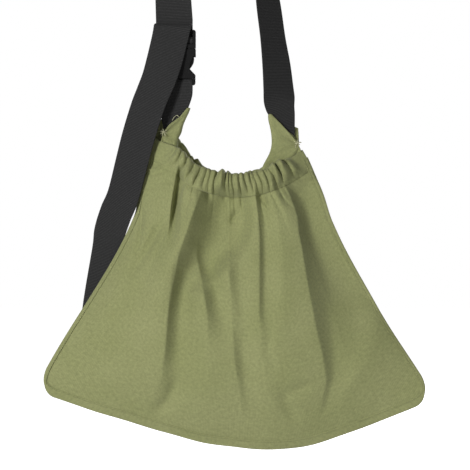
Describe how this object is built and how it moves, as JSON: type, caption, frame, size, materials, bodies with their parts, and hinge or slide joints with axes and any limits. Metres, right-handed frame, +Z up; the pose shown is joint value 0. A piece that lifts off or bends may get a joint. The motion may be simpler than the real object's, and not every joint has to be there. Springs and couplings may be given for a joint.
{
  "type": "picking bag",
  "caption": "Soft canvas picking bag with an elastic gathered mouth, hung from a webbing shoulder strap with a side-release buckle and a loose strap tail.",
  "frame": {"origin": "underside of the shoulder strap at its highest point, where it rests on a shoulder or peg", "axes": "+X to the right seen from the front, +Y from the front of the bag to its back, +Z up"},
  "size_m": [0.5318, 0.0985, 0.8362],
  "materials": {
    "canvas": "matte sage green cotton canvas",
    "webbing": "matte black ribbed webbing",
    "plastic": "satin black moulded acetal",
    "elastic": "matte white woven elastic",
    "thread": "matte sewing thread"
  },
  "bodies": {
    "bag": {"front_panel": "canvas", "back_panel": "canvas", "edge_binding": "canvas", "front_casing": "canvas", "back_casing": "canvas", "front_elastic": "elastic", "back_elastic": "elastic", "left_ear": "canvas", "right_ear": "canvas", "ear_stitching": "thread", "shoulder_strap": "webbing", "buckle_tab": "webbing", "buckle_plug": "plastic"},
    "socket": {"buckle_socket": "plastic"},
    "left_prong": {"left_prong": "plastic"},
    "right_prong": {"right_prong": "plastic"}
  },
  "joints": [
    {"name": "buckle_release", "type": "slide", "parent": "bag", "child": "socket", "axis": [0, 0, -1], "range_m": [0, 0.029], "deforming": ["buckle_tab", "left_prong", "right_prong"]},
    {"name": "right_prong_squeeze", "type": "hinge", "parent": "bag", "child": "right_prong", "pos_m": [-0.035, 0, -0.2738], "axis": [0, 1, 0], "range_deg": [0, 9], "stiffness_Nm_per_rad": 1},
    {"name": "left_prong_squeeze", "type": "hinge", "parent": "bag", "child": "left_prong", "pos_m": [-0.071, 0, -0.2738], "axis": [0, -1, 0], "range_deg": [0, 9], "stiffness_Nm_per_rad": 1}
  ],
  "couplings": [
    {"joint": "left_prong_squeeze", "follows": "right_prong_squeeze", "ratio": 1}
  ]
}
